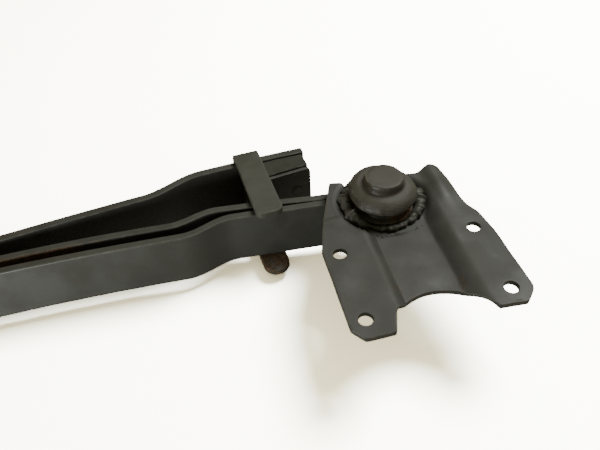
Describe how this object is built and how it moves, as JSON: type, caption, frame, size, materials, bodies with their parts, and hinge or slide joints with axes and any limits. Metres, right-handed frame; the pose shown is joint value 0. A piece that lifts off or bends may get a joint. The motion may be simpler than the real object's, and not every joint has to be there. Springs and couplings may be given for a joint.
{
  "type": "leaf spring",
  "caption": "Light van leaf spring pack lying on its edge, with helper leaf, end clips, rubber-bushed eyes and a pressed front hanger bracket on a welded pin.",
  "frame": {"origin": "middle of the centre bolt's round locating head, on its end face, half way across the leaves", "axes": "+X forward along the spring pack to the hanger bracket, +Y out of the convex side that sits on the axle, +Z across the width of the leaves, up as the spring lies on its edge"},
  "size_m": [1.4708, 0.3294, 0.131],
  "materials": {
    "leaf_paint": "satin dark grey chassis paint over spring steel, worn on the edges, rust in the gaps",
    "strap_paint": "satin olive grey paint over bent flat strap, rusty where it faces the ground",
    "bracket_paint": "satin dark grey paint over pressed steel, worn bright on the cut edges",
    "pin_paint": "thin grey paint over a forged pin, rust in the groove",
    "weld_paint": "painted rippled weld bead with small spatter",
    "rubbing_block": "hard grey rubber with a film of dust and paint",
    "bush_rubber": "moulded black rubber",
    "liner": "black anti-squeak liner",
    "bare_steel": "plated steel, dulled, with light rust"
  },
  "bodies": {
    "spring": {"main_leaf": "leaf_paint", "second_leaf": "leaf_paint", "helper_leaf": "leaf_paint", "centre_spacer_thin": "leaf_paint", "centre_spacer_thick": "leaf_paint", "front_wear_plate": "leaf_paint", "rear_wear_plate": "leaf_paint", "front_clip": "strap_paint", "front_clip_rivet": "pin_paint", "front_pad_rivet": "pin_paint", "front_rubbing_block": "rubbing_block", "front_tip_liner": "liner", "front_bush_outer_sleeve": "bare_steel", "front_bush_rubber": "bush_rubber", "rear_clip": "strap_paint", "rear_clip_rivet": "pin_paint", "rear_pad_rivet": "pin_paint", "rear_rubbing_block": "rubbing_block", "rear_tip_liner": "liner", "rear_bush_outer_sleeve": "bare_steel", "rear_bush_rubber": "bush_rubber", "centre_bolt": "bare_steel", "centre_bolt_nut": "bare_steel"},
    "hanger": {"front_bush_inner_sleeve": "bare_steel", "hanger_plate": "bracket_paint", "hanger_pin": "pin_paint", "hanger_pin_weld": "weld_paint", "hanger_pin_washer": "bare_steel", "hanger_pin_nut": "bare_steel"},
    "rear_sleeve": {"rear_bush_inner_sleeve": "bare_steel"}
  },
  "joints": [
    {"name": "hanger_swing", "type": "hinge", "parent": "spring", "child": "hanger", "pos_m": [0.67025, -0.14114, 0], "axis": [0, 0, 1], "range_deg": [-20, 20], "stiffness_Nm_per_rad": 60},
    {"name": "rear_sleeve_twist", "type": "hinge", "parent": "spring", "child": "rear_sleeve", "pos_m": [-0.69021, -0.14577, 0], "axis": [0, 0, 1], "range_deg": [-20, 20], "stiffness_Nm_per_rad": 60}
  ]
}
